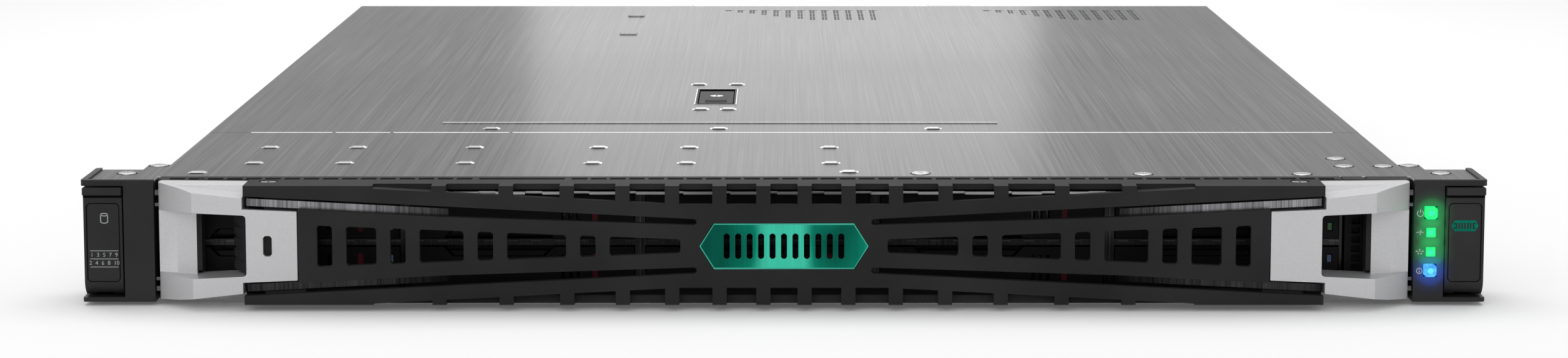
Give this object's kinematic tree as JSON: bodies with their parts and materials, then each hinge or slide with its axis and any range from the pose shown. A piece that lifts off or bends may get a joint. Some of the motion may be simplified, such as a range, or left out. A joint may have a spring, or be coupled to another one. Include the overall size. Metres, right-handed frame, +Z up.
{
  "type": "rack server",
  "caption": "One-unit rack server with a slotted pull-off bezel, quick-release ears, a lift-off top cover, rear power supplies and cooling fans.",
  "frame": {"origin": "on the underside plane, below the middle of the whole object's box", "axes": "+X to the right seen from the front, +Y to the rear, +Z up"},
  "size_m": [0.4826, 0.707, 0.0435],
  "materials": {
    "brushed_top": "brushed sheet, satin",
    "chassis_steel": "zinc-plated sheet",
    "screw_metal": "plain nickel",
    "bezel_black": "fine grained, satin",
    "ear_black": "fine grained, satin",
    "handle_silver": "metallic paint, satin",
    "strip_metal": "dark brushed",
    "badge_green": "brushed under clear green",
    "light_green": "lit lens",
    "light_blue": "lit lens",
    "drive_black": "moulded",
    "drive_red": "moulded",
    "drive_metal": "cast and machined",
    "board_green": "circuit board",
    "memory_board": "circuit board",
    "fin_metal": "stacked fins",
    "baffle_plastic": "thin moulding",
    "fan_black": "moulded",
    "psu_metal": "plated sheet",
    "latch_red": "moulded",
    "port_metal": "plated shells"
  },
  "bodies": {
    "chassis": {"chassis_tray": "chassis_steel", "rear_panel": "chassis_steel", "front_top_panel": "brushed_top", "front_rivets": "brushed_top", "top_screws": "screw_metal", "rail_studs": "screw_metal", "ear_bracket_left": "brushed_top", "ear_bracket_right": "brushed_top", "ear_housing_left": "ear_black", "ear_housing_right": "ear_black", "lever_pins": "screw_metal", "rack_screws": "screw_metal", "status_lights": "light_green", "drive_cage": "chassis_steel", "drive_carriers": "drive_black", "drive_disks": "drive_metal", "drive_levers": "drive_black", "drive_buttons": "drive_red", "drive_backplane": "board_green", "front_port_strip": "drive_black", "fan_bulkhead": "chassis_steel", "fan_housings": "fan_black", "motherboard": "board_green", "processor_heatsink": "fin_metal", "memory_modules": "memory_board", "air_baffle": "baffle_plastic", "riser_card": "board_green", "expansion_brackets": "chassis_steel", "rear_ports": "port_metal", "network_module": "port_metal", "power_board": "board_green"},
    "bezel": {"bezel_frame": "bezel_black", "bezel_badge": "badge_green", "bezel_handle_left": "handle_silver", "bezel_handle_right": "handle_silver", "bezel_accent_strips": "strip_metal", "bezel_rails": "bezel_black", "bezel_screws": "strip_metal", "bezel_hooks": "screw_metal"},
    "bezel_latch": {"bezel_latch": "bezel_black"},
    "lever_left": {"release_lever_left": "ear_black"},
    "lever_right": {"release_lever_right": "ear_black"},
    "power_button": {"power_button": "light_green"},
    "uid_button": {"uid_button": "light_blue"},
    "access_panel": {"access_panel": "brushed_top", "access_panel_rivets": "brushed_top", "cover_latch_housing": "ear_black"},
    "cover_latch": {"cover_latch_lever": "ear_black", "cover_latch_screw": "screw_metal"},
    "psu_1": {"psu_1": "psu_metal"},
    "psu_latch_1": {"psu_latch_1": "latch_red"},
    "psu_2": {"psu_2": "psu_metal"},
    "psu_latch_2": {"psu_latch_2": "latch_red"},
    "fan_rotor_1": {"fan_rotor_1": "fan_black"},
    "fan_rotor_2": {"fan_rotor_2": "fan_black"},
    "fan_rotor_3": {"fan_rotor_3": "fan_black"},
    "fan_rotor_4": {"fan_rotor_4": "fan_black"},
    "fan_rotor_5": {"fan_rotor_5": "fan_black"},
    "fan_rotor_6": {"fan_rotor_6": "fan_black"},
    "fan_rotor_7": {"fan_rotor_7": "fan_black"}
  },
  "joints": [
    {"name": "bezel_pull", "type": "slide", "parent": "chassis", "child": "bezel", "axis": [0, -1, 0], "range_m": [0, 0.06]},
    {"name": "bezel_latch_press", "type": "slide", "parent": "bezel", "child": "bezel_latch", "axis": [1, 0, 0], "range_m": [0, 0.003], "stiffness_N_per_m": 400},
    {"name": "lever_left_swing", "type": "hinge", "parent": "chassis", "child": "lever_left", "pos_m": [-0.23395, -0.3355, 0.0088], "axis": [1, 0, 0], "range_deg": [0, 75]},
    {"name": "lever_right_swing", "type": "hinge", "parent": "chassis", "child": "lever_right", "pos_m": [0.23395, -0.3355, 0.0088], "axis": [1, 0, 0], "range_deg": [0, 75]},
    {"name": "power_press", "type": "slide", "parent": "chassis", "child": "power_button", "axis": [0, 1, 0], "range_m": [0, 0.0008], "stiffness_N_per_m": 800},
    {"name": "uid_press", "type": "slide", "parent": "chassis", "child": "uid_button", "axis": [0, 1, 0], "range_m": [0, 0.0008], "stiffness_N_per_m": 800},
    {"name": "access_panel_lift", "type": "slide", "parent": "chassis", "child": "access_panel", "axis": [0, 0, 1], "range_m": [0, 0.08]},
    {"name": "cover_latch_swing", "type": "hinge", "parent": "access_panel", "child": "cover_latch", "pos_m": [-0.0276, -0.0617, 0.0397], "axis": [-1, 0, 0], "range_deg": [0, 90]},
    {"name": "psu_1_pull", "type": "slide", "parent": "chassis", "child": "psu_1", "axis": [0, 1, 0], "range_m": [0, 0.19]},
    {"name": "psu_1_latch_press", "type": "slide", "parent": "psu_1", "child": "psu_latch_1", "axis": [1, 0, 0], "range_m": [0, 0.002], "stiffness_N_per_m": 500},
    {"name": "psu_2_pull", "type": "slide", "parent": "chassis", "child": "psu_2", "axis": [0, 1, 0], "range_m": [0, 0.19]},
    {"name": "psu_2_latch_press", "type": "slide", "parent": "psu_2", "child": "psu_latch_2", "axis": [1, 0, 0], "range_m": [0, 0.002], "stiffness_N_per_m": 500},
    {"name": "fan_1_spin", "type": "hinge", "parent": "chassis", "child": "fan_rotor_1", "pos_m": [-0.174, -0.1385, 0.021], "axis": [0, 1, 0], "continuous": true},
    {"name": "fan_2_spin", "type": "hinge", "parent": "chassis", "child": "fan_rotor_2", "pos_m": [-0.116, -0.1385, 0.021], "axis": [0, 1, 0], "continuous": true},
    {"name": "fan_3_spin", "type": "hinge", "parent": "chassis", "child": "fan_rotor_3", "pos_m": [-0.058, -0.1385, 0.021], "axis": [0, 1, 0], "continuous": true},
    {"name": "fan_4_spin", "type": "hinge", "parent": "chassis", "child": "fan_rotor_4", "pos_m": [0, -0.1385, 0.021], "axis": [0, 1, 0], "continuous": true},
    {"name": "fan_5_spin", "type": "hinge", "parent": "chassis", "child": "fan_rotor_5", "pos_m": [0.058, -0.1385, 0.021], "axis": [0, 1, 0], "continuous": true},
    {"name": "fan_6_spin", "type": "hinge", "parent": "chassis", "child": "fan_rotor_6", "pos_m": [0.116, -0.1385, 0.021], "axis": [0, 1, 0], "continuous": true},
    {"name": "fan_7_spin", "type": "hinge", "parent": "chassis", "child": "fan_rotor_7", "pos_m": [0.174, -0.1385, 0.021], "axis": [0, 1, 0], "continuous": true}
  ]
}
